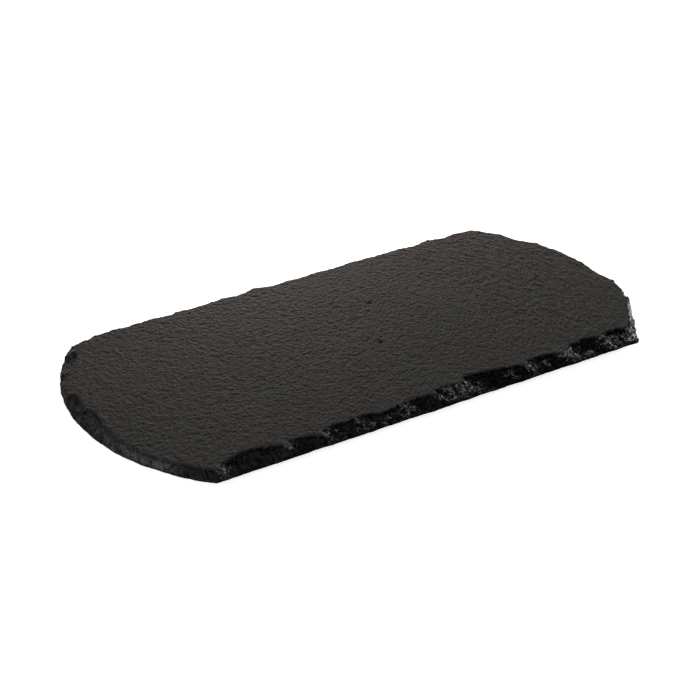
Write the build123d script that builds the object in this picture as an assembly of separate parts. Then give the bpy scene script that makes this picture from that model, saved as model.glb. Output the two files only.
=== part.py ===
from build123d import *
import math
import os

# Slate serving board: one slab with straight long sides, bowed ends and hand-chipped edges, on rubber feet.
# Millimetres. X runs along the board, Y from its front to its back, and Z = 0 is the table it stands on.

# The slab. Its outline is taken at the underside, where it is widest.
side_length = 242.0  # straight run of each long side
board_width = 149.0  # from one long side to the other
end_bulge = 30.0  # how far each bowed end stands out past the long sides
slate_thickness = 5.5
corner_break_side = 1.0  # the front right corner is broken off straight: how much of the long side went
corner_break_end = 41.0  # how much of the bowed end went with it

# The rubber feet and the discs of adhesive that bond them.
foot_diameter = 12.0
foot_height = 1.6
foot_taper = 0.6  # how much smaller the foot's radius is at the table
foot_rim_radius = 0.5
foot_side_inset = 24.5  # from a long side to a foot's centre
foot_end_inset = 21.0  # from the end of a long side to a foot's centre
adhesive_thickness = 0.2
adhesive_margin = 0.5  # bare ring of rubber round the adhesive

# The chips. A blow takes a scoop out of the edge, from the top face down to a low lip above the underside.
# Each row is one chip: its length along the edge, its bite into the top face, how far along it the bite is
# deepest, from 0 to 1, and the bite left on the ridge at its far end. Rows run anticlockwise round the board
# as seen from above, and are used again from the first one if their edge is longer than they are.
front_chips = [
    (3.5, 2.6, 0.50, 2.0),
    (37.0, 10.4, 0.47, 2.6),
    (17.5, 7.2, 0.12, 2.2),
    (16.0, 7.8, 0.55, 7.0),
    (17.0, 8.4, 0.28, 4.0),
    (7.5, 5.8, 0.75, 5.2),
    (8.5, 7.0, 0.45, 3.0),
    (15.5, 8.0, 0.35, 6.0),
    (18.0, 9.4, 0.30, 8.4),
    (35.0, 11.8, 0.06, 5.0),
    (22.0, 9.0, 0.28, 4.8),
    (26.0, 11.2, 0.60, 6.0),
    (18.5, 10.8, 0.40, 8.6),
]
corner_chips = [
    (20.0, 5.6, 0.10, 3.0),
    (21.5, 3.0, 0.10, 1.2),
]
right_chips = [
    (5.0, 3.0, 0.50, 2.2),
    (15.0, 2.2, 0.50, 1.8),
    (24.0, 5.4, 0.65, 4.8),
    (22.0, 5.0, 0.50, 4.5),
    (13.0, 4.6, 0.50, 4.2),
    (24.0, 6.5, 0.55, 4.8),
    (21.0, 5.0, 0.50, 4.6),
]
back_chips = [
    (12.0, 5.6, 0.20, 4.2),
    (13.0, 5.6, 0.50, 3.8),
    (24.0, 5.2, 0.65, 4.0),
    (30.0, 4.4, 0.40, 3.8),
    (26.0, 4.4, 0.50, 3.8),
    (16.0, 4.9, 0.50, 4.2),
    (14.0, 5.0, 0.40, 3.6),
    (22.0, 4.5, 0.70, 3.7),
    (28.0, 4.9, 0.60, 4.2),
    (14.0, 5.2, 0.50, 4.0),
    (24.0, 4.7, 0.45, 4.0),
    (9.0, 5.0, 0.60, 4.6),
    (10.0, 7.2, 0.80, 6.6),
]
left_chips = [
    (11.0, 6.8, 0.40, 6.2),
    (23.0, 7.6, 0.50, 5.4),
    (12.0, 4.8, 0.20, 2.0),
    (13.0, 1.9, 0.50, 1.6),
    (17.0, 6.0, 0.50, 5.4),
    (17.0, 8.4, 0.40, 6.6),
    (16.0, 6.2, 0.10, 4.0),
    (14.0, 3.8, 0.40, 2.8),
    (15.0, 2.4, 0.50, 2.0),
    (21.0, 3.2, 0.60, 2.6),
    (8.0, 3.6, 0.50, 3.0),
]

# The lip of unbroken edge under the chips is lowest and highest between these heights.
lip_low = 0.3
lip_high = 1.0
least_arc_radius = 24.0  # tightest arc that a chip leaves in the top face
front_hollow = 0.11  # how far the face of a front chip is hollowed, as a share of its bite
side_hollow = 0.04  # and of a chip anywhere else
scarp_slope = 0.5  # run along the edge of the slope at a chip's near end, as a share of its bite
scarp_share = 0.3  # most of a chip's length that this slope takes up
chip_overlap = 0.4  # share of its length by which a chip runs on under the next one
cutter_clearance = 3.0  # how far a chip's cutter stands clear of the stone all round

slab_bottom = foot_height + adhesive_thickness
slab_top = slab_bottom + slate_thickness


def outline_edges():
    """The five edges of the underside, anticlockwise from the front left corner."""
    x = side_length / 2
    y = board_width / 2
    bow = ThreePointArc((x, -y), (x + end_bulge, 0), (x, y))
    right = bow.trim(corner_break_end / bow.length, 1)
    front = Line((-x, -y), (x - corner_break_side, -y))
    corner = Line(front @ 1, right @ 0)
    back = Line((x, y), (-x, y))
    left = ThreePointArc((-x, y), (-x - end_bulge, 0), (-x, -y))
    return front, corner, right, back, left


def chip_cutter(edge, start, chip, hollow, lip):
    """A turned cutter, clipped to one chip's stretch of the edge, to be cut from the slab.

    It leaves an arc in the top face that is deepest at the peak and shallows towards the ridge at the far end.
    From there the chip's face falls in a hollow curve to the outline, which it meets at the top of the lip. At
    its near end the chip starts down a slope.
    """
    length, bite, peak, ridge_bite = chip
    run = length * (1 - peak)
    shallowing = bite - ridge_bite
    arc_radius = max(least_arc_radius, run**2 / (2 * shallowing) + shallowing / 2)
    high = slab_top + cutter_clearance
    lip_top = slab_bottom + lip
    fall = slab_top - lip_top
    sag = hollow * bite / math.hypot(bite, fall)
    lowest = (arc_radius - bite, 0, lip_top)
    middle = (arc_radius - bite / 2 + sag * fall, 0, lip_top + fall / 2 - sag * bite)
    highest = (arc_radius, 0, slab_top)
    face_curve = ThreePointArc(lowest, middle, highest)
    rest = Polyline(highest, (arc_radius, 0, high), (0, 0, high), (0, 0, lip_top), lowest)
    scoop = revolve(make_face([face_curve, rest]), Axis.Z)

    distance = start + peak * length
    along = edge.tangent_at(distance, position_mode=PositionMode.LENGTH)
    peak_place = edge.position_at(distance, position_mode=PositionMode.LENGTH)
    at_peak = Plane(peak_place, x_dir=along, z_dir=(0, 0, 1))
    scoop = at_peak * Pos(0, bite - arc_radius, 0) * Rot(0, 0, -90) * scoop

    lean = min(scarp_slope * bite, scarp_share * length) / slate_thickness
    low = slab_bottom - cutter_clearance
    near_high = -cutter_clearance * lean
    near_low = (slate_thickness + cutter_clearance) * lean
    far = length * (1 + chip_overlap)
    side_view = Polyline((near_high, 0, high), (near_low, 0, low), (far, 0, low), (far, 0, high), close=True)
    clip = extrude(make_face(side_view), bite + cutter_clearance, both=True)
    return scoop & at_peak * Pos(-peak * length, 0, 0) * clip


def edge_cutters(edge, chips, hollow):
    """Cutters for chips laid end to end along one edge. The lip's height wanders by the golden ratio."""
    golden = (math.sqrt(5) - 1) / 2
    start = 0
    count = 0
    while start < edge.length:
        chip = chips[count % len(chips)]
        lip = lip_low + (lip_high - lip_low) * ((count + 1) * golden % 1)
        yield chip_cutter(edge, start, chip, hollow, lip)
        start += chip[0]
        count += 1


def make_slate_slab():
    front, corner, right, back, left = outline_edges()
    cutters = [*edge_cutters(front, front_chips, front_hollow)]
    for edge, chips in ((corner, corner_chips), (right, right_chips), (back, back_chips), (left, left_chips)):
        cutters += edge_cutters(edge, chips, side_hollow)
    outline = make_face([front, corner, right, back, left])
    slab = Pos(0, 0, slab_bottom) * extrude(outline, slate_thickness)
    return slab - cutters


def make_foot():
    """A foot about its own axis, standing on the table: wide where it is bonded, with a rounded rim below."""
    top_radius = foot_diameter / 2
    on_table = (Align.CENTER, Align.CENTER, Align.MIN)
    foot = Cone(top_radius - foot_taper, top_radius, foot_height, align=on_table)
    return fillet(foot.edges().sort_by(Axis.Z)[0], foot_rim_radius)


def make_adhesive():
    radius = foot_diameter / 2 - adhesive_margin
    disc = Cylinder(radius, adhesive_thickness, align=(Align.CENTER, Align.CENTER, Align.MIN))
    return Pos(0, 0, foot_height) * disc


os.makedirs("parts", exist_ok=True)
export_step(make_slate_slab(), "parts/slate_slab.step")

foot_x = side_length / 2 - foot_end_inset
foot_y = board_width / 2 - foot_side_inset
for row, y in (("front", -foot_y), ("back", foot_y)):
    for end, x in (("left", -foot_x), ("right", foot_x)):
        export_step(Pos(x, y, 0) * make_foot(), f"parts/foot_{row}_{end}.step")
        export_step(Pos(x, y, 0) * make_adhesive(), f"parts/adhesive_{row}_{end}.step")
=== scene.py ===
import math
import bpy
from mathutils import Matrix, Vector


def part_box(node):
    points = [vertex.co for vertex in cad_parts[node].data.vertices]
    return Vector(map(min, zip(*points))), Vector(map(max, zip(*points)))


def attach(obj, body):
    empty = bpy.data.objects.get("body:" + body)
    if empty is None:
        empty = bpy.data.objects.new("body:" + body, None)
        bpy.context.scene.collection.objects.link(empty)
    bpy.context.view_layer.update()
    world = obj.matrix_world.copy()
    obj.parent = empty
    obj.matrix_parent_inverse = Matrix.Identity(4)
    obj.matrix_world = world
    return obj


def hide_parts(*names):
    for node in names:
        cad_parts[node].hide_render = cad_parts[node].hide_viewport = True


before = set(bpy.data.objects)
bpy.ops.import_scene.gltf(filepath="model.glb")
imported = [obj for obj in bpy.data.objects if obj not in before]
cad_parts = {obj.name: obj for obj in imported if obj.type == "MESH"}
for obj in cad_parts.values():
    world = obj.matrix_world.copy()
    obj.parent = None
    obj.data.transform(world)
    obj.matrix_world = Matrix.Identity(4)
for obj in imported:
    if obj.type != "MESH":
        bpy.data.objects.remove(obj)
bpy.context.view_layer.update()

from types import SimpleNamespace
import bmesh
import bpy
from mathutils import Vector

millimetre = 0.001
slabLow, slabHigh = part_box("slate_slab")
slabTop = slabHigh.z / millimetre
slabUnderside = slabLow.z / millimetre


# Node helpers, shared by the geometry tree and the materials

class Wire:
    # a node's output that takes part in arithmetic: every operator adds one Math node
    def __init__(self, board, socket):
        self.board = board
        self.socket = socket

    def __add__(self, other):
        return self.board.math("ADD", self, other)

    def __radd__(self, other):
        return self.board.math("ADD", other, self)

    def __sub__(self, other):
        return self.board.math("SUBTRACT", self, other)

    def __rsub__(self, other):
        return self.board.math("SUBTRACT", other, self)

    def __mul__(self, other):
        return self.board.math("MULTIPLY", self, other)

    def __rmul__(self, other):
        return self.board.math("MULTIPLY", other, self)

    def __truediv__(self, other):
        return self.board.math("DIVIDE", self, other)

    def __rtruediv__(self, other):
        return self.board.math("DIVIDE", other, self)


class NodeBoard:
    # one node tree, filled by its add method
    def __init__(self, tree):
        self.tree = tree
        self.tree.nodes.clear()

    @staticmethod
    def socketOf(sockets, key):
        if isinstance(key, int):
            return sockets[key]
        for socket in sockets:
            if socket.enabled and key in (socket.identifier, socket.name):
                return socket
        raise KeyError(key)

    def add(self, nodeType, settings=None, sockets=None, out=0):
        node = self.tree.nodes.new(nodeType)
        for name, value in (settings or {}).items():
            setattr(node, name, value)
        for key, value in (sockets or {}).items():
            socket = self.socketOf(node.inputs, key)
            if isinstance(value, Wire):
                self.tree.links.new(value.socket, socket)
            else:
                socket.default_value = value
        return Wire(self, self.socketOf(node.outputs, out)) if len(node.outputs) else None

    def outputs(self, wire):
        # every output of a wire's node, by name
        return {socket.name: Wire(self, socket) for socket in wire.socket.node.outputs}

    def math(self, operation, *values):
        return self.add("ShaderNodeMath", {"operation": operation}, dict(enumerate(values)))

    def vector(self, operation, *values, out=0):
        return self.add("ShaderNodeVectorMath", {"operation": operation}, dict(enumerate(values)), out)

    def scaled(self, vector, factor):
        return self.add("ShaderNodeVectorMath", {"operation": "SCALE"}, {"Vector": vector, "Scale": factor})

    def split(self, vector):
        return list(self.outputs(self.add("ShaderNodeSeparateXYZ", None, {"Vector": vector})).values())

    def join(self, x, y, z):
        return self.add("ShaderNodeCombineXYZ", None, {"X": x, "Y": y, "Z": z})

    def objectPlace(self):
        # a point's place on its piece, in millimetres
        return self.scaled(self.add("ShaderNodeTexCoord", None, None, "Object"), 1 / millimetre)

    def apart(self, vector, place):
        return self.vector("DISTANCE", vector, place, out="Value")

    def stretched(self, vector, axis, angle, sizes):
        # the vector turned about an axis and measured in its own size along each axis
        turned = self.add(
            "ShaderNodeVectorRotate",
            {"rotation_type": axis},
            {"Vector": vector, "Angle": math.radians(angle)},
        )
        return self.vector("MULTIPLY", turned, [1 / size for size in sizes])

    def ramp(self, value, start, end, low=0, high=1):
        # eases from low to high while the value goes from start to end
        return self.add(
            "ShaderNodeMapRange",
            {"interpolation_type": "SMOOTHSTEP"},
            {"Value": value, "From Min": start, "From Max": end, "To Min": low, "To Max": high},
        )

    def noise(self, vector, size, detail=2, roughness=0.5, swirl=0, out=0):
        # size is the spacing of the pattern, in the vector's own units
        return self.add("ShaderNodeTexNoise", None, {
            "Vector": vector, "Scale": 1 / size,
            "Detail": detail, "Roughness": roughness, "Distortion": swirl}, out)

    def offset(self, vector, size, detail, roughness, reach):
        # a random offset, up to half of its reach either way
        pattern = self.noise(vector, size, detail, roughness, out="Color")
        return self.vector("MULTIPLY", self.vector("SUBTRACT", pattern, (0.5, 0.5, 0.5)), reach)

    def facets(self, vector, size):
        # flat facets tilted each its own way, with steps where they meet
        cells = self.outputs(self.add("ShaderNodeTexVoronoi", None, {"Vector": vector, "Scale": 1 / size}))
        tilt = self.vector("SUBTRACT", cells["Color"], (0.5, 0.5, 0.5))
        away = self.vector("SUBTRACT", vector, cells["Position"])
        return self.vector("DOT_PRODUCT", tilt, away, out="Value")

    def colours(self, factor, first, second, blend="MIX"):
        first, second = [colour if isinstance(colour, Wire) else (*colour, 1) for colour in (first, second)]
        return self.add(
            "ShaderNodeMix",
            {"data_type": "RGBA", "blend_type": blend},
            {"Factor_Float": factor, "A_Color": first, "B_Color": second},
            "Result_Color",
        )


def newMaterial(name):
    material = bpy.data.materials.new(name)
    material.use_nodes = True
    return material, NodeBoard(material.node_tree)


def grey(level):
    return (level, level, level)


noiseSpan = (0.35, 0.65)  # most of a noise pattern lies between these
roughNoise = (2, 0.6)  # detail and roughness of the grittier patterns


# The slate

slate = {
    # sizes and places are in millimetres
    "voxel": 0.42, "triangles": 194000, "weld": 0.001,

    # shape of the riven faces
    "waveSize": 42,
    "rivenSize": 2.2, "rivenDetail": 1, "rivenRoughness": 0.5, "rivenSwirl": 0.3,
    "rippleCentre": (-30, -2), "rippleRadius": 140, "rippleSize": 2.0, "rippleLength": 12,
    "rippleFromX": (45, 90), "rippleFromY": (-50, 5),  # the ripples come in towards the right and the back
    "marks": ((6.3, -12.5, 2.2), (24.6, 25.3, 2.6)),  # two small pits: x, y, radius
    "topFade": (0.08, 0.4), "undersideFade": (0.05, 0.3),  # how far off a face the break begins
    "footRing": (8, 12),  # the underside is flat within a foot's first radius and wavy outside its second

    # shape of the broken edge
    "frontFrom": (-57, -63),  # the front's rougher break comes in between these
    "sideShare": 0.3,  # how rough the break is round the rest of the board
    "deepest": 1.4, "proudest": 0.5,  # most that the break is cut into the solid and stands out from it
    "plateSize": 5.5, "chipSize": 2.3, "gritSize": 1.0, "jagSize": 2.6, "swaySize": 8,
    "layer": 1.1, "layerFlat": 2.2, "layerDrift": 1.6, "layerDriftSize": 6,
    "lipGuard": (0.15, 1.4, 0.2, 1), "rimGuard": (0.1, 0.9, 0.2, 1),  # gentler at the lip and the rim

    "inputs": {
        "Wave Depth": 0.3, "Riven Depth": 0.8, "Ripple Depth": 0.8, "Mark Depth": 0.7,
        "Plate Tilt": 0.6, "Chip Tilt": 0.9, "Grit Depth": 0.5,
        "Jag Depth": 1.4, "Sway Depth": 1.3, "Step Depth": 0.14, "Seed": 11.0,
    },

    # finish of the faces; a row of four numbers is a ramp: from, to, and what it gives there
    "faceBrown": (0.0433, 0.0374, 0.034), "faceGrey": (0.0391, 0.0377, 0.0346),
    "driftSize": 30, "driftLean": (-60, 50, 0.12, -0.08),  # greyer at the front, browner at the back
    "creaseSize": 1.25, "creaseTurn": 32, "creaseStretch": (1, 1.5, 1), "creaseDepth": 0.66,
    "bowedSize": 1.4, "bowedLength": 4.2, "bowedSwirl": 0.4, "bowedDepth": 1.6,
    "bowedFrom": (40, 80), "bowedLoss": 0.45,  # where bowed creases come in, and what the others lose
    "patchSize": 13, "patchDepth": (0.75, 1.3), "calmLeft": (-120, -30, 0.6, 0.95),
    "grainSize": 0.9, "grainSpan": (0.3, 0.7), "grainShade": (grey(0.7), grey(1.3)),
    # painted shade for the two pits
    "pitShade": grey(0.003), "pitShare": 0.7, "pitRim": (0.8, 0.3),
    "hazeColour": (0.12, 0.12, 0.13), "hazeShare": 0.4, "hazeSpan": (0.42, 0.62),  # stone dust beside a blow
    "faceRoughness": (0.2, 0.8, 0.62, 0.76), "faceShine": 0.003,

    # where the break's finish begins: at this frayed depth, true depth and height
    "fraySize": 1.8, "sideFray": 2.8, "frontFray": 0.9,
    "breakFrom": (0.45, 0.65), "breakLeast": (0.25, 0.4), "breakLow": (0.1, 0.4),

    # where blows bruised the break lighter: x, y, radius
    "knocks": (
        (-117, -71, 4), (-80, -70, 3), (-60, -70, 4), (-42, -70, 4), (-32, -73, 2.5), (-17, -70, 4.5),
        (2, -70, 3), (8, -70, 4.5), (17, -69, 5.5), (26, -70, 4), (44, -71, 2.5), (57, -69, 4.5),
        (65, -70, 1.8), (79, -69, 5.5), (92, -71, 4), (105, -69, 5.5), (112, -70, 4), (117, -71, 4.5),
        (124, -69, 6), (131, -60, 7), (138, -48, 7), (144, -34, 6),
    ),
    "bruiseReach": 1.75, "bruiseSpan": (0.25, 0.85), "bruiseSlant": 0.5, "bruiseLevel": 2,
    "wanderSize": 3.2, "wanderReach": (18, 14, 0),  # ragged outlines for the bruises
    "cornerFromX": (117, 124), "cornerFromY": (-25, -40),  # the broken corner, bruised as the front is, with the same painted glints

    # finish of the break round the sides and the back
    # the sides' pale speckle is partly the stone's own colour and partly painted light
    "sideDark": (0.0205, 0.0187, 0.0198), "sideLight": (0.117, 0.109, 0.1125),
    "speckleSize": 1.1, "speckleShare": 0.6, "speckleSpan": (0.4, 0.6),
    # painted shade at the side's rim and lip, and towards the back
    "sideShadow": grey(0.004), "sideRim": (0.6, 2.4, 0.45, 1), "sideLip": (0.3, 2.4, 0.3, 1),
    "backShadow": grey(0.002), "backward": (-60, 45, 1, 0.36), "farBack": (30, 60, 1, 0.65),

    # finish of the front's break
    # the front's dark hollows are partly the stone's own colour and partly painted shade
    "hollowDark": (0.0168, 0.0158, 0.0174), "hollowLight": (0.033, 0.0315, 0.034), "cloudSize": 5,
    "leftOnward": (-95, -60, 1, 0.66), "middleOnward": (-30, 40, 1, 0.5),  # it darkens towards the right
    "frontRimShade": (0.7, 2.2, 0.35, 1), "frontLip": (0.4, 1.6, 0.45, 0), "lipShadow": grey(0.002),

    # the dust of the blows, and light specks that are partly pale grains and partly painted glints
    "powderSize": 1.3,
    "dustColour": (0.047, 0.047, 0.05), "dustShare": 0.85, "dustLift": 0.24, "dustSpan": (0.57, 0.76),
    "streakTurn": -50, "streakSizes": (1.8, 0.95, 0.95),
    "speckLift": 0.13, "speckFrom": (0.62, 0.68), "speckElsewhere": 0.1, "speckHeight": (0.5, 1.4),
    "speckDim": (0.057, 0.057, 0.059), "speckAndGlint": (0.52, 0.523, 0.535),
    "speckPowder": (0.35, 0.6, 0.5, 1),
    "paler": (-110, 95, 0.5, 0.75), "palest": (98, 118, 0, 0.35),  # brighter specks towards the right end, painted glints where the light from the right catches the break

    # small splits in the break, for its bump
    "splitSize": 1.9, "fineSplitSize": 0.9, "fineSplitShare": 0.8, "splitElsewhere": 0.15, "splitGrain": 0.3,
    "splitDepth": 1.0, "edgeRoughness": 0.6, "edgeShine": 0.04,
}


def bowedPlace(board, x, y, size, length, layer):
    # coordinates for a texture that bows with the ripples of the right end
    centreX, centreY = slate["rippleCentre"]
    radius = board.vector("LENGTH", board.join(x - centreX, y - centreY, 0), out="Value")
    turn = board.math("ARCTAN2", y - centreY, x - centreX) * slate["rippleRadius"]
    return board.join(radius / size, turn / length, layer)


def rivenTree(material):
    tree = bpy.data.node_groups.new("rivenSlate", "GeometryNodeTree")
    tree.interface.new_socket("Geometry", in_out="INPUT", socket_type="NodeSocketGeometry")
    values = {"Top": slabTop, "Underside": slabUnderside, **slate["inputs"]}
    identifiers = {}
    for name in values:
        socket = tree.interface.new_socket(name, in_out="INPUT", socket_type="NodeSocketFloat")
        identifiers[name] = socket.identifier
    tree.interface.new_socket("Geometry", in_out="OUTPUT", socket_type="NodeSocketGeometry")
    board = NodeBoard(tree)
    sheet = board.add("NodeGroupInput")
    given = board.outputs(sheet)

    place = board.scaled(board.add("GeometryNodeInputPosition"), 1 / millimetre)
    x, y, z = board.split(place)
    onPlan = board.join(x, y, 0)
    normal = board.add("GeometryNodeInputNormal")
    seed = board.join(given["Seed"], 0, 0)
    seeded = board.vector("ADD", place, seed)
    depth = given["Top"] - z
    height = z - given["Underside"]
    onTop = board.ramp(depth, *slate["topFade"], 1, 0)
    below = board.ramp(height, *slate["undersideFade"], 1, 0)
    broken = (1 - onTop) * (1 - below)

    # the riven faces: slow waves, leathery bumps, ripples that bow round the right end, and two small pits
    wave = (board.noise(seeded, slate["waveSize"], 1) - 0.5) * given["Wave Depth"]
    riven = board.noise(
        seeded, slate["rivenSize"], slate["rivenDetail"], slate["rivenRoughness"], slate["rivenSwirl"]) - 0.5
    bowed = bowedPlace(board, x, y, slate["rippleSize"], slate["rippleLength"], given["Seed"])
    rippleZone = board.ramp(x, *slate["rippleFromX"]) * board.ramp(y, *slate["rippleFromY"])
    ripple = (board.noise(bowed, 1, 1) - 0.5) * rippleZone
    relief = wave + riven * given["Riven Depth"] + ripple * given["Ripple Depth"]
    for markX, markY, reach in slate["marks"]:
        inMark = board.ramp(board.apart(onPlan, (markX, markY, 0)), reach, 0)
        relief = relief - inMark * given["Mark Depth"]

    # the underside only waves, and is flat where the feet are bonded
    footLow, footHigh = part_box("foot_back_right")
    footX = board.math("ABSOLUTE", x) - (footLow.x + footHigh.x) / 2 / millimetre
    footY = board.math("ABSOLUTE", y) - (footLow.y + footHigh.y) / 2 / millimetre
    clear = board.ramp(board.math("SQRT", footX * footX + footY * footY), *slate["footRing"])
    lift = relief * onTop + wave * below * clear

    # the broken edge: split plates, smaller chips and grit, rougher along the front
    flattened = board.vector("MULTIPLY", seeded, (1, 1, slate["layerFlat"]))
    plates = board.facets(flattened, slate["plateSize"]) * given["Plate Tilt"]
    chips = board.facets(flattened, slate["chipSize"]) * given["Chip Tilt"]
    grit = (board.noise(seeded, slate["gritSize"], *roughNoise) - 0.5) * given["Grit Depth"]
    outward = board.math("MAXIMUM", plates + chips + grit, -slate["deepest"])
    outward = board.math("MINIMUM", outward, slate["proudest"])
    lipGuard = board.ramp(height, *slate["lipGuard"])
    rimGuard = board.ramp(depth, *slate["rimGuard"])
    outward = outward * broken * lipGuard * rimGuard
    outward = outward * board.ramp(y, *slate["frontFrom"], slate["sideShare"], 1)

    # a ragged plan, jagged above the lip and swaying over its whole height
    jag = board.offset(seeded, slate["jagSize"], 1, 0.6, (1, 1, 0))
    sway = board.offset(board.vector("ADD", onPlan, seed), slate["swaySize"], 1, 0.5, (1, 1, 0))
    ragged = board.vector(
        "ADD", board.scaled(jag, given["Jag Depth"] * lipGuard), board.scaled(sway, given["Sway Depth"]))

    # the layers of the stone show as steps down the break
    level = depth + board.noise(seeded, slate["layerDriftSize"], 2) * slate["layerDrift"]
    steps = board.math("SINE", level * (2 * math.pi / slate["layer"])) * given["Step Depth"]
    steps = steps * broken * lipGuard

    push = board.vector("ADD", board.scaled(normal, outward), board.join(0, 0, lift - steps))
    push = board.scaled(board.vector("ADD", push, ragged), millimetre)
    moved = board.add("GeometryNodeSetPosition", None, {"Geometry": sheet, "Offset": push})
    smooth = board.add("GeometryNodeSetShadeSmooth", None, {"Geometry": moved, "Shade Smooth": True})
    whole = board.add("GeometryNodeRealizeInstances", None, {"Geometry": smooth})
    finished = board.add("GeometryNodeSetMaterial", None, {"Geometry": whole, "Material": material})
    board.add("NodeGroupOutput", None, {"Geometry": finished})
    return tree, {identifiers[name]: value for name, value in values.items()}


def copyOfNode(nodeName, name):
    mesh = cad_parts[nodeName].data.copy()
    mesh.name = name
    mesh.materials.clear()
    form = bmesh.new()
    form.from_mesh(mesh)
    bmesh.ops.remove_doubles(form, verts=form.verts, dist=slate["weld"] * millimetre)
    form.to_mesh(mesh)
    form.free()
    piece = bpy.data.objects.new(name, mesh)
    bpy.context.scene.collection.objects.link(piece)
    return piece


def makePlain(piece):
    # turns the piece and its modifiers into a plain mesh, and counts its triangles
    evaluated = piece.evaluated_get(bpy.context.evaluated_depsgraph_get())
    mesh = bpy.data.meshes.new_from_object(evaluated)
    piece.modifiers.clear()
    piece.data = mesh
    return sum(len(face.vertices) - 2 for face in mesh.polygons)


def makeSlab(material):
    piece = copyOfNode("slate_slab", "slate_board")
    remesh = piece.modifiers.new("evenMesh", "REMESH")
    remesh.mode = "VOXEL"
    remesh.voxel_size = slate["voxel"] * millimetre
    tree, values = rivenTree(material)
    riven = piece.modifiers.new("riven", "NODES")
    riven.node_group = tree
    for identifier, value in values.items():
        riven[identifier] = value
    triangles = makePlain(piece)
    print("slate riven:", triangles, "triangles")
    thin = piece.modifiers.new("thin", "DECIMATE")
    thin.ratio = slate["triangles"] / triangles
    print("slate thinned:", makePlain(piece), "triangles")
    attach(piece, "root")
    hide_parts("slate_slab")


def surveySlate(board):
    # what both finishes ask about a point of the slate
    place = board.objectPlace()
    x, y, z = board.split(place)
    spot = SimpleNamespace(place=place, x=x, y=y, z=z, depth=slabTop - z, height=z - slabUnderside)
    spot.front = board.ramp(y, *slate["frontFrom"])
    fray = slate["sideFray"] - spot.front * (slate["sideFray"] - slate["frontFray"])
    spot.ragged = spot.depth + (board.noise(place, slate["fraySize"], *roughNoise) - 0.5) * fray
    spot.grain = board.noise(place, slate["grainSize"], 0.5)
    spot.powder = board.noise(place, slate["powderSize"], *roughNoise)

    # blows bruised the edge in ragged patches, which slant down along it
    wander = board.offset(place, slate["wanderSize"], *roughNoise, slate["wanderReach"])
    slanted = x - (spot.depth - slate["bruiseLevel"]) * slate["bruiseSlant"]
    onPlan = board.vector("ADD", board.join(slanted, y, 0), wander)
    spot.bruise = 0
    for knockX, knockY, reach in slate["knocks"]:
        knock = board.ramp(board.apart(onPlan, (knockX, knockY, 0)), reach * slate["bruiseReach"], 0)
        spot.bruise = board.math("MAXIMUM", spot.bruise, knock)
    spot.struck = board.ramp(spot.bruise, *slate["bruiseSpan"])
    return spot


def faceFinish(board, spot):
    # brown and grey drifts, a fine grain, painted shade in the pits, and a haze of dust beside the front's
    # blows
    drift = board.noise(spot.place, slate["driftSize"], 2) + board.ramp(spot.y, *slate["driftLean"])
    colour = board.colours(board.ramp(drift, *noiseSpan), slate["faceBrown"], slate["faceGrey"])
    shade = board.colours(board.ramp(spot.grain, *slate["grainSpan"]), *slate["grainShade"])
    colour = board.colours(1, colour, shade, "MULTIPLY")
    # the pits are darkened with painted shade
    for markX, markY, reach in slate["marks"]:
        away = board.apart(spot.place, (markX, markY, slabTop))
        inMark = board.ramp(away, *[reach * share for share in slate["pitRim"]])
        colour = board.colours(inMark * slate["pitShare"], colour, slate["pitShade"])
    haze = spot.struck * spot.front * board.ramp(spot.powder, *slate["hazeSpan"])
    colour = board.colours(haze * slate["hazeShare"], colour, slate["hazeColour"])

    # fine creases, which follow the ripples at the right end and are calmer at the left
    atRight = board.ramp(spot.x, *slate["bowedFrom"])
    along = board.stretched(spot.place, "Z_AXIS", slate["creaseTurn"], slate["creaseStretch"])
    crease = (board.noise(along, slate["creaseSize"], 0.5) - 0.5) * (1 - atRight * slate["bowedLoss"])
    bowed = bowedPlace(board, spot.x, spot.y, slate["bowedSize"], slate["bowedLength"], spot.z)
    bowedCrease = board.noise(bowed, 1, 0.5, 0.5, slate["bowedSwirl"]) - 0.5
    crease = crease + bowedCrease * atRight * slate["bowedDepth"]
    patches = board.noise(spot.place, slate["patchSize"], *roughNoise)
    patchy = board.ramp(patches, *noiseSpan, *slate["patchDepth"]) * board.ramp(spot.x, *slate["calmLeft"])
    bump = board.add("ShaderNodeBump", None, {
        "Strength": 1.0, "Distance": slate["creaseDepth"] * millimetre, "Height": crease * patchy})
    return board.add("ShaderNodeBsdfPrincipled", None, {
        "Base Color": colour, "Roughness": board.ramp(spot.grain, *slate["faceRoughness"]),
        "Specular IOR Level": slate["faceShine"], "Normal": bump})


def sideColour(board, spot, cloud):
    # speckled, with painted shade at its rim, at its lip and towards the back
    fine = board.noise(spot.place, slate["speckleSize"], 2, 0.7)
    speckle = fine * slate["speckleShare"] + cloud * (1 - slate["speckleShare"])
    colour = board.colours(board.ramp(speckle, *slate["speckleSpan"]), slate["sideDark"], slate["sideLight"])
    lit = board.ramp(spot.ragged, *slate["sideRim"]) * board.ramp(spot.height, *slate["sideLip"])
    colour = board.colours(lit, slate["sideShadow"], colour)
    lit = board.ramp(spot.y, *slate["backward"]) * board.ramp(spot.y, *slate["farBack"])
    return board.colours(lit, slate["backShadow"], colour)


def hollowColour(board, spot, cloud):
    # the front's dark hollows, darker towards the right, with painted shade at their rim under the top's
    # edge
    colour = board.colours(board.ramp(cloud, *noiseSpan), slate["hollowDark"], slate["hollowLight"])
    lit = board.ramp(spot.x, *slate["leftOnward"]) * board.ramp(spot.x, *slate["middleOnward"])
    colour = board.colours(lit, grey(0), colour)
    return board.colours(board.ramp(spot.ragged, *slate["frontRimShade"]), grey(0), colour)


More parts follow.
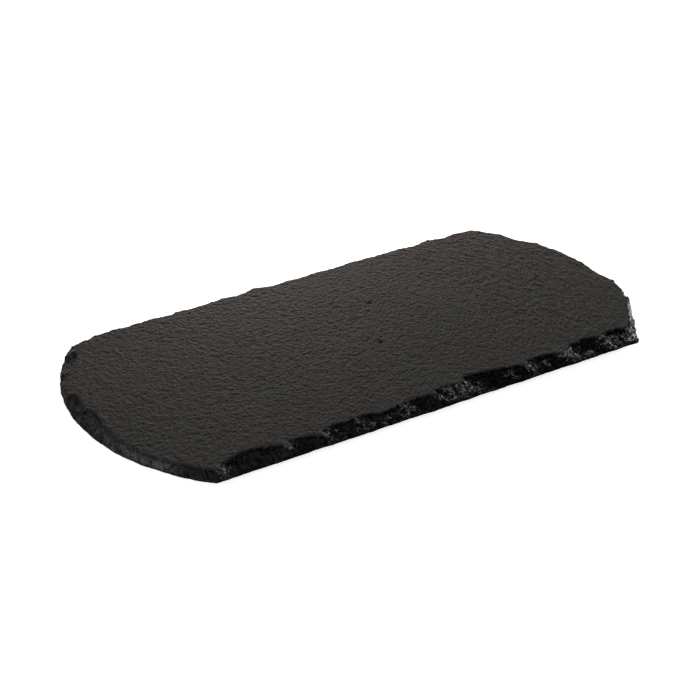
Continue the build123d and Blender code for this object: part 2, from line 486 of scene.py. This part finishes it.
def edgeFinish(board, spot):
    cloud = board.noise(spot.place, slate["cloudSize"], 3, 0.6)
    # the sides are painted paler and the front darker, as painted light and shade for how each faces the
    # lamps
    stone = board.colours(spot.front, sideColour(board, spot, cloud), hollowColour(board, spot, cloud))
    lipShade = spot.front * board.ramp(spot.height, *slate["frontLip"])
    stone = board.colours(1 - lipShade, slate["lipShadow"], stone)

    # dust, and light specks that are partly pale grains and partly painted glints, most of them where blows
    # fell
    corner = board.ramp(spot.x, *slate["cornerFromX"]) * board.ramp(spot.y, *slate["cornerFromY"])
    worked = board.math("MAXIMUM", spot.front, corner)
    dust = board.ramp(spot.powder + spot.bruise * slate["dustLift"], *slate["dustSpan"]) * worked
    stone = board.colours(dust * slate["dustShare"], stone, slate["dustColour"])
    streaked = board.stretched(spot.place, "Y_AXIS", slate["streakTurn"], slate["streakSizes"])
    streaks = board.noise(streaked, 1, 1.5, 0.6) + spot.struck * slate["speckLift"]
    specks = board.ramp(streaks, *slate["speckFrom"]) * board.ramp(spot.height, *slate["speckHeight"])
    specks = specks * (slate["speckElsewhere"] + worked * (1 - slate["speckElsewhere"]))
    # painted glints: the specks grow brighter towards the right end
    paler = board.ramp(spot.x, *slate["paler"]) + board.ramp(spot.x, *slate["palest"])
    powdered = spot.struck * board.ramp(spot.powder, *slate["speckPowder"]) * paler
    glintingSpecks = board.colours(powdered, slate["speckDim"], slate["speckAndGlint"])
    colour = board.colours(specks, stone, glintingSpecks)

    # small splits, deeper along the front
    splits = board.facets(spot.place, slate["splitSize"])
    splits = splits + board.facets(spot.place, slate["fineSplitSize"]) * slate["fineSplitShare"]
    splits = splits * (slate["splitElsewhere"] + spot.front * (1 - slate["splitElsewhere"]))
    crystal = board.add("ShaderNodeBump", None, {
        "Strength": 1.0, "Distance": slate["splitDepth"] * millimetre,
        "Height": splits + spot.grain * slate["splitGrain"]})
    return board.add("ShaderNodeBsdfPrincipled", None, {
        "Base Color": colour, "Roughness": slate["edgeRoughness"],
        "Specular IOR Level": slate["edgeShine"], "Normal": crystal})


def slateFinish():
    material, board = newMaterial("slateFinish")
    spot = surveySlate(board)
    broken = board.ramp(spot.ragged, *slate["breakFrom"]) * board.ramp(spot.depth, *slate["breakLeast"])
    broken = broken * board.ramp(spot.height, *slate["breakLow"])
    face = faceFinish(board, spot)
    edge = edgeFinish(board, spot)
    shader = board.add("ShaderNodeMixShader", None, {0: broken, 1: face, 2: edge})
    board.add("ShaderNodeOutputMaterial", None, {"Surface": shader})
    return material


# The feet and their adhesive keep their CAD meshes and are given a finish

foot = {
    "dark": (0.016, 0.016, 0.017), "light": (0.03, 0.03, 0.031), "cloudSize": 3,
    "grainSize": 0.4, "grainStrength": 0.3, "grainDepth": 0.1,  # mm
    "roughness": (0.2, 0.8, 0.6, 0.8),
}


def rubberFinish():
    material, board = newMaterial("footRubber")
    place = board.objectPlace()
    grain = board.noise(place, foot["grainSize"], 2)
    bump = board.add("ShaderNodeBump", None, {
        "Strength": foot["grainStrength"], "Distance": foot["grainDepth"] * millimetre, "Height": grain})
    colour = board.colours(board.noise(place, foot["cloudSize"], 2), foot["dark"], foot["light"])
    shader = board.add("ShaderNodeBsdfPrincipled", None, {
        "Base Color": colour, "Roughness": board.ramp(grain, *foot["roughness"]), "Normal": bump})
    board.add("ShaderNodeOutputMaterial", None, {"Surface": shader})
    return material


adhesive = {
    "dark": (0.36, 0.34, 0.29), "light": (0.48, 0.46, 0.41), "cloudSize": 1.5,  # mm
    "roughness": (0.3, 0.7, 0.35, 0.5),
}


def adhesiveFinish():
    material, board = newMaterial("adhesiveFilm")
    cloud = board.noise(board.objectPlace(), adhesive["cloudSize"], 2)
    colour = board.colours(cloud, adhesive["dark"], adhesive["light"])
    shader = board.add("ShaderNodeBsdfPrincipled", None, {
        "Base Color": colour, "Roughness": board.ramp(cloud, *adhesive["roughness"])})
    board.add("ShaderNodeOutputMaterial", None, {"Surface": shader})
    return material


# The stage

def lookFrom(azimuth, elevation):
    across = math.radians(azimuth)
    up = math.radians(elevation)
    return Vector((math.sin(across) * math.cos(up), -math.cos(across) * math.cos(up), math.sin(up)))


stage = {
    "floorRadius": 5.0, "coveRadius": 1.2, "coveSteps": 8, "floorSides": 96,  # metres
    "floorColour": (0.7, 0.7, 0.7, 1),
    "floorGlow": 0.86,  # lifts the floor to white where it is seen, and leaves the shadow in it
    "coveGlow": 0.96, "coveFrom": (0.5, 2.0),  # and far off, where the lamps don't reach
    "worldLight": 0.1,
    # lamps, all aimed at the origin: place in metres, diameter, power
    "lamps": {
        "backKey": (lookFrom(161, 15.5) * 0.42, 0.17, 3.6),
        "rightRim": (lookFrom(97, 10) * 0.8, 0.2, 6.5),
        "overhead": (Vector((-0.1, 0.1, 1.2)), 1.0, 1.15),
        "leftFill": (lookFrom(-75, 23) * 0.9, 0.5, 2.4),
    },
    "target": (-5.61, -2.91), "azimuth": -32.48, "elevation": 28.97, "distance": 940.5,  # mm and degrees
    "fieldOfView": 21, "clipStart": 10,
}


def backgroundFactor(board):
    rays = board.outputs(board.add("ShaderNodeLightPath"))
    seen = rays["Is Camera Ray"] + rays["Is Glossy Ray"] + rays["Is Transmission Ray"]
    return board.math("MINIMUM", seen, 1)


def makeFloor():
    # a flat disc that curves up into a cove all round
    rings = [(stage["floorRadius"] / 4, 0.0)]
    for step in range(stage["coveSteps"] + 1):
        turn = math.pi / 2 * step / stage["coveSteps"]
        radius = stage["floorRadius"] + stage["coveRadius"] * math.sin(turn)
        rings.append((radius, stage["coveRadius"] * (1 - math.cos(turn))))
    form = bmesh.new()
    rows = []
    for radius, height in rings:
        row = []
        for side in range(stage["floorSides"]):
            angle = 2 * math.pi * side / stage["floorSides"]
            row.append(form.verts.new((radius * math.cos(angle), radius * math.sin(angle), height)))
        rows.append(row)
    form.faces.new(rows[0])
    for inner, outer in zip(rows, rows[1:]):
        for side in range(stage["floorSides"]):
            after = (side + 1) % stage["floorSides"]
            form.faces.new((inner[side], outer[side], outer[after], inner[after]))
    mesh = bpy.data.meshes.new("floor")
    form.to_mesh(mesh)
    form.free()
    mesh.shade_smooth()
    floor = bpy.data.objects.new("floor", mesh)
    bpy.context.scene.collection.objects.link(floor)

    material, board = newMaterial("paleFloor")
    pale = board.add("ShaderNodeBsdfDiffuse", None, {"Color": stage["floorColour"]})
    away = board.vector("LENGTH", board.add("ShaderNodeTexCoord", None, None, "Object"), out="Value")
    level = board.ramp(away, *stage["coveFrom"], stage["floorGlow"], stage["coveGlow"])
    glow = board.add("ShaderNodeEmission", None, {"Strength": backgroundFactor(board) * level})
    shader = board.add("ShaderNodeAddShader", None, {0: pale, 1: glow})
    board.add("ShaderNodeOutputMaterial", None, {"Surface": shader})
    mesh.materials.append(material)


def makeWorld():
    world = bpy.data.worlds.new("studio")
    bpy.context.scene.world = world
    world.use_nodes = True
    board = NodeBoard(world.node_tree)
    light = board.add("ShaderNodeBackground", None, {"Color": (1, 1, 1, 1), "Strength": stage["worldLight"]})
    board.add("ShaderNodeOutputWorld", None, {"Surface": light})


def addLamp(name, place, size, power):
    lamp = bpy.data.lights.new(name, "AREA")
    lamp.shape = "DISK"
    lamp.size = size
    lamp.energy = power
    lampObject = bpy.data.objects.new(name, lamp)
    lampObject.location = place
    lampObject.rotation_euler = (-place).to_track_quat("-Z", "Y").to_euler()
    lampObject.visible_camera = False
    bpy.context.scene.collection.objects.link(lampObject)


def makeCamera():
    camera = bpy.data.objects.new("camera", bpy.data.cameras.new("camera"))
    camera.data.sensor_fit = "HORIZONTAL"
    camera.data.angle = math.radians(stage["fieldOfView"])
    camera.data.clip_start = stage["clipStart"] * millimetre
    back = lookFrom(stage["azimuth"], stage["elevation"])
    target = Vector((*stage["target"], slabUnderside))
    camera.location = (target + back * stage["distance"]) * millimetre
    camera.rotation_euler = (-back).to_track_quat("-Z", "Y").to_euler()
    bpy.context.scene.collection.objects.link(camera)
    bpy.context.scene.camera = camera


makeSlab(slateFinish())
finishes = {"foot": rubberFinish(), "adhesive": adhesiveFinish()}
for nodeName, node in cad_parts.items():
    finish = finishes.get(nodeName.split("_")[0])
    if finish:
        for materialSlot in node.material_slots:
            materialSlot.material = finish
print("pieces dressed")

makeFloor()
makeWorld()
for name, lamp in stage["lamps"].items():
    addLamp(name, *lamp)
makeCamera()
bpy.context.scene.view_settings.view_transform = "Standard"
print("stage set")
